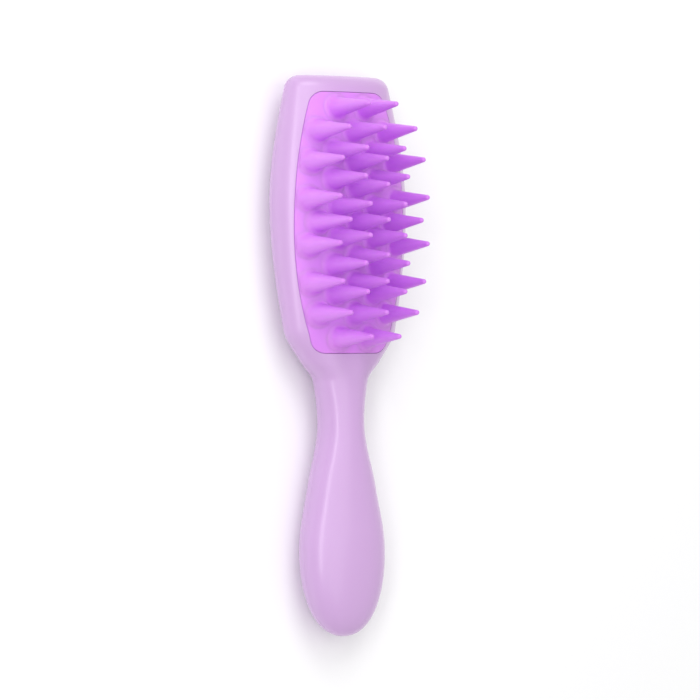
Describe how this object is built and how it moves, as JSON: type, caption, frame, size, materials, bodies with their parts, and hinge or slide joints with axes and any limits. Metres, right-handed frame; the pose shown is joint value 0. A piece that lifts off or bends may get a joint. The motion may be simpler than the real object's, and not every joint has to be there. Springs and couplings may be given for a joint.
{
  "type": "scalp and grooming brush",
  "caption": "Long-handled grooming brush with a hollow plastic body, a barrel-shaped head and a soft silicone pad of long flexible cone teeth.",
  "frame": {"origin": "centre of the bounding box in plan, on the surface the brush rests on when it lies on its back", "axes": "+X from the grip to the head's end, +Y across the head, +Z the way the teeth point"},
  "size_m": [0.225, 0.062, 0.0507],
  "materials": {
    "lilac_plastic": "satin, faintly pearly",
    "carrier_plastic": "moulded, matt",
    "violet_silicone": "satin silicone"
  },
  "bodies": {
    "brush_body": {"front_shell": "lilac_plastic", "back_shell": "lilac_plastic", "pad_carrier": "carrier_plastic", "bristle_pad": "violet_silicone"},
    "tooth_01_left_flexing": {"tooth_01_left": "violet_silicone"},
    "tooth_01_right_flexing": {"tooth_01_right": "violet_silicone"},
    "tooth_02_centre_flexing": {"tooth_02_centre": "violet_silicone"},
    "tooth_02_left_flexing": {"tooth_02_left": "violet_silicone"},
    "tooth_02_right_flexing": {"tooth_02_right": "violet_silicone"},
    "tooth_03_left_flexing": {"tooth_03_left": "violet_silicone"},
    "tooth_03_right_flexing": {"tooth_03_right": "violet_silicone"},
    "tooth_04_centre_flexing": {"tooth_04_centre": "violet_silicone"},
    "tooth_04_left_flexing": {"tooth_04_left": "violet_silicone"},
    "tooth_04_right_flexing": {"tooth_04_right": "violet_silicone"},
    "tooth_05_left_flexing": {"tooth_05_left": "violet_silicone"},
    "tooth_05_right_flexing": {"tooth_05_right": "violet_silicone"},
    "tooth_06_centre_flexing": {"tooth_06_centre": "violet_silicone"},
    "tooth_07_left_flexing": {"tooth_07_left": "violet_silicone"},
    "tooth_07_right_flexing": {"tooth_07_right": "violet_silicone"},
    "tooth_08_left_flexing": {"tooth_08_left": "violet_silicone"},
    "tooth_08_right_flexing": {"tooth_08_right": "violet_silicone"},
    "tooth_09_centre_flexing": {"tooth_09_centre": "violet_silicone"},
    "tooth_09_left_flexing": {"tooth_09_left": "violet_silicone"},
    "tooth_09_right_flexing": {"tooth_09_right": "violet_silicone"},
    "tooth_10_left_flexing": {"tooth_10_left": "violet_silicone"},
    "tooth_10_right_flexing": {"tooth_10_right": "violet_silicone"},
    "tooth_11_left_flexing": {"tooth_11_left": "violet_silicone"},
    "tooth_11_right_flexing": {"tooth_11_right": "violet_silicone"},
    "tooth_12_centre_flexing": {"tooth_12_centre": "violet_silicone"},
    "tooth_13_left_flexing": {"tooth_13_left": "violet_silicone"},
    "tooth_13_right_flexing": {"tooth_13_right": "violet_silicone"},
    "tooth_14_centre_flexing": {"tooth_14_centre": "violet_silicone"},
    "tooth_14_left_flexing": {"tooth_14_left": "violet_silicone"},
    "tooth_14_right_flexing": {"tooth_14_right": "violet_silicone"},
    "tooth_15_left_flexing": {"tooth_15_left": "violet_silicone"},
    "tooth_15_right_flexing": {"tooth_15_right": "violet_silicone"},
    "tooth_16_centre_flexing": {"tooth_16_centre": "violet_silicone"},
    "tooth_16_left_flexing": {"tooth_16_left": "violet_silicone"},
    "tooth_16_right_flexing": {"tooth_16_right": "violet_silicone"},
    "tooth_17_left_flexing": {"tooth_17_left": "violet_silicone"},
    "tooth_17_right_flexing": {"tooth_17_right": "violet_silicone"}
  },
  "joints": [
    {"name": "tooth_01_left_bend", "type": "hinge", "parent": "brush_body", "child": "tooth_01_left_flexing", "pos_m": [0.0993, 0.0065, 0.02707], "axis": [1, 0, 0], "range_deg": [-18, 18], "stiffness_Nm_per_rad": 0.01},
    {"name": "tooth_01_right_bend", "type": "hinge", "parent": "brush_body", "child": "tooth_01_right_flexing", "pos_m": [0.0993, -0.0065, 0.02707], "axis": [1, 0, 0], "range_deg": [-18, 18], "stiffness_Nm_per_rad": 0.01},
    {"name": "tooth_02_centre_bend", "type": "hinge", "parent": "brush_body", "child": "tooth_02_centre_flexing", "pos_m": [0.0898, 0, 0.02848], "axis": [1, 0, 0], "range_deg": [-18, 18], "stiffness_Nm_per_rad": 0.01},
    {"name": "tooth_02_left_bend", "type": "hinge", "parent": "brush_body", "child": "tooth_02_left_flexing", "pos_m": [0.0898, 0.0156, 0.02687], "axis": [1, 0, 0], "range_deg": [-18, 18], "stiffness_Nm_per_rad": 0.01},
    {"name": "tooth_02_right_bend", "type": "hinge", "parent": "brush_body", "child": "tooth_02_right_flexing", "pos_m": [0.0898, -0.0156, 0.02687], "axis": [1, 0, 0], "range_deg": [-18, 18], "stiffness_Nm_per_rad": 0.01},
    {"name": "tooth_03_left_bend", "type": "hinge", "parent": "brush_body", "child": "tooth_03_left_flexing", "pos_m": [0.0816, 0.0088, 0.02891], "axis": [1, 0, 0], "range_deg": [-18, 18], "stiffness_Nm_per_rad": 0.01},
    {"name": "tooth_03_right_bend", "type": "hinge", "parent": "brush_body", "child": "tooth_03_right_flexing", "pos_m": [0.0816, -0.0088, 0.02891], "axis": [1, 0, 0], "range_deg": [-18, 18], "stiffness_Nm_per_rad": 0.01},
    {"name": "tooth_04_centre_bend", "type": "hinge", "parent": "brush_body", "child": "tooth_04_centre_flexing", "pos_m": [0.0775, 0, 0.02967], "axis": [1, 0, 0], "range_deg": [-18, 18], "stiffness_Nm_per_rad": 0.01},
    {"name": "tooth_04_left_bend", "type": "hinge", "parent": "brush_body", "child": "tooth_04_left_flexing", "pos_m": [0.0775, 0.0191, 0.02721], "axis": [1, 0, 0], "range_deg": [-18, 18], "stiffness_Nm_per_rad": 0.01},
    {"name": "tooth_04_right_bend", "type": "hinge", "parent": "brush_body", "child": "tooth_04_right_flexing", "pos_m": [0.0775, -0.0191, 0.02721], "axis": [1, 0, 0], "range_deg": [-18, 18], "stiffness_Nm_per_rad": 0.01},
    {"name": "tooth_05_left_bend", "type": "hinge", "parent": "brush_body", "child": "tooth_05_left_flexing", "pos_m": [0.0704, 0.0099, 0.02962], "axis": [1, 0, 0], "range_deg": [-18, 18], "stiffness_Nm_per_rad": 0.01},
    {"name": "tooth_05_right_bend", "type": "hinge", "parent": "brush_body", "child": "tooth_05_right_flexing", "pos_m": [0.0704, -0.0099, 0.02962], "axis": [1, 0, 0], "range_deg": [-18, 18], "stiffness_Nm_per_rad": 0.01},
    {"name": "tooth_06_centre_bend", "type": "hinge", "parent": "brush_body", "child": "tooth_06_centre_flexing", "pos_m": [0.0672, 0, 0.03026], "axis": [1, 0, 0], "range_deg": [-18, 18], "stiffness_Nm_per_rad": 0.01},
    {"name": "tooth_07_left_bend", "type": "hinge", "parent": "brush_body", "child": "tooth_07_left_flexing", "pos_m": [0.0625, 0.0206, 0.02752], "axis": [1, 0, 0], "range_deg": [-18, 18], "stiffness_Nm_per_rad": 0.01},
    {"name": "tooth_07_right_bend", "type": "hinge", "parent": "brush_body", "child": "tooth_07_right_flexing", "pos_m": [0.0625, -0.0206, 0.02752], "axis": [1, 0, 0], "range_deg": [-18, 18], "stiffness_Nm_per_rad": 0.01},
    {"name": "tooth_08_left_bend", "type": "hinge", "parent": "brush_body", "child": "tooth_08_left_flexing", "pos_m": [0.0595, 0.0082, 0.03006], "axis": [1, 0, 0], "range_deg": [-18, 18], "stiffness_Nm_per_rad": 0.01},
    {"name": "tooth_08_right_bend", "type": "hinge", "parent": "brush_body", "child": "tooth_08_right_flexing", "pos_m": [0.0595, -0.0082, 0.03006], "axis": [1, 0, 0], "range_deg": [-18, 18], "stiffness_Nm_per_rad": 0.01},
    {"name": "tooth_09_centre_bend", "type": "hinge", "parent": "brush_body", "child": "tooth_09_centre_flexing", "pos_m": [0.0533, 0, 0.03031], "axis": [1, 0, 0], "range_deg": [-18, 18], "stiffness_Nm_per_rad": 0.01},
    {"name": "tooth_09_left_bend", "type": "hinge", "parent": "brush_body", "child": "tooth_09_left_flexing", "pos_m": [0.0533, 0.0168, 0.02858], "axis": [1, 0, 0], "range_deg": [-18, 18], "stiffness_Nm_per_rad": 0.01},
    {"name": "tooth_09_right_bend", "type": "hinge", "parent": "brush_body", "child": "tooth_09_right_flexing", "pos_m": [0.0533, -0.0168, 0.02858], "axis": [1, 0, 0], "range_deg": [-18, 18], "stiffness_Nm_per_rad": 0.01},
    {"name": "tooth_10_left_bend", "type": "hinge", "parent": "brush_body", "child": "tooth_10_left_flexing", "pos_m": [0.0471, 0.0082, 0.02975], "axis": [1, 0, 0], "range_deg": [-18, 18], "stiffness_Nm_per_rad": 0.01},
    {"name": "tooth_10_right_bend", "type": "hinge", "parent": "brush_body", "child": "tooth_10_right_flexing", "pos_m": [0.0471, -0.0082, 0.02975], "axis": [1, 0, 0], "range_deg": [-18, 18], "stiffness_Nm_per_rad": 0.01},
    {"name": "tooth_11_left_bend", "type": "hinge", "parent": "brush_body", "child": "tooth_11_left_flexing", "pos_m": [0.0441, 0.0206, 0.02702], "axis": [1, 0, 0], "range_deg": [-18, 18], "stiffness_Nm_per_rad": 0.01},
    {"name": "tooth_11_right_bend", "type": "hinge", "parent": "brush_body", "child": "tooth_11_right_flexing", "pos_m": [0.0441, -0.0206, 0.02702], "axis": [1, 0, 0], "range_deg": [-18, 18], "stiffness_Nm_per_rad": 0.01},
    {"name": "tooth_12_centre_bend", "type": "hinge", "parent": "brush_body", "child": "tooth_12_centre_flexing", "pos_m": [0.0394, 0, 0.02966], "axis": [1, 0, 0], "range_deg": [-18, 18], "stiffness_Nm_per_rad": 0.01},
    {"name": "tooth_13_left_bend", "type": "hinge", "parent": "brush_body", "child": "tooth_13_left_flexing", "pos_m": [0.0362, 0.0099, 0.02893], "axis": [1, 0, 0], "range_deg": [-18, 18], "stiffness_Nm_per_rad": 0.01},
    {"name": "tooth_13_right_bend", "type": "hinge", "parent": "brush_body", "child": "tooth_13_right_flexing", "pos_m": [0.0362, -0.0099, 0.02893], "axis": [1, 0, 0], "range_deg": [-18, 18], "stiffness_Nm_per_rad": 0.01},
    {"name": "tooth_14_centre_bend", "type": "hinge", "parent": "brush_body", "child": "tooth_14_centre_flexing", "pos_m": [0.0291, 0, 0.02893], "axis": [1, 0, 0], "range_deg": [-18, 18], "stiffness_Nm_per_rad": 0.01},
    {"name": "tooth_14_left_bend", "type": "hinge", "parent": "brush_body", "child": "tooth_14_left_flexing", "pos_m": [0.0291, 0.0191, 0.02633], "axis": [1, 0, 0], "range_deg": [-18, 18], "stiffness_Nm_per_rad": 0.01},
    {"name": "tooth_14_right_bend", "type": "hinge", "parent": "brush_body", "child": "tooth_14_right_flexing", "pos_m": [0.0291, -0.0191, 0.02633], "axis": [1, 0, 0], "range_deg": [-18, 18], "stiffness_Nm_per_rad": 0.01},
    {"name": "tooth_15_left_bend", "type": "hinge", "parent": "brush_body", "child": "tooth_15_left_flexing", "pos_m": [0.025, 0.0088, 0.02818], "axis": [1, 0, 0], "range_deg": [-18, 18], "stiffness_Nm_per_rad": 0.01},
    {"name": "tooth_15_right_bend", "type": "hinge", "parent": "brush_body", "child": "tooth_15_right_flexing", "pos_m": [0.025, -0.0088, 0.02818], "axis": [1, 0, 0], "range_deg": [-18, 18], "stiffness_Nm_per_rad": 0.01},
    {"name": "tooth_16_centre_bend", "type": "hinge", "parent": "brush_body", "child": "tooth_16_centre_flexing", "pos_m": [0.0168, 0, 0.02798], "axis": [1, 0, 0], "range_deg": [-18, 18], "stiffness_Nm_per_rad": 0.01},
    {"name": "tooth_16_left_bend", "type": "hinge", "parent": "brush_body", "child": "tooth_16_left_flexing", "pos_m": [0.0168, 0.0156, 0.02629], "axis": [1, 0, 0], "range_deg": [-18, 18], "stiffness_Nm_per_rad": 0.01},
    {"name": "tooth_16_right_bend", "type": "hinge", "parent": "brush_body", "child": "tooth_16_right_flexing", "pos_m": [0.0168, -0.0156, 0.02629], "axis": [1, 0, 0], "range_deg": [-18, 18], "stiffness_Nm_per_rad": 0.01},
    {"name": "tooth_17_left_bend", "type": "hinge", "parent": "brush_body", "child": "tooth_17_left_flexing", "pos_m": [0.0073, 0.0065, 0.02697], "axis": [1, 0, 0], "range_deg": [-18, 18], "stiffness_Nm_per_rad": 0.01},
    {"name": "tooth_17_right_bend", "type": "hinge", "parent": "brush_body", "child": "tooth_17_right_flexing", "pos_m": [0.0073, -0.0065, 0.02697], "axis": [1, 0, 0], "range_deg": [-18, 18], "stiffness_Nm_per_rad": 0.01}
  ]
}
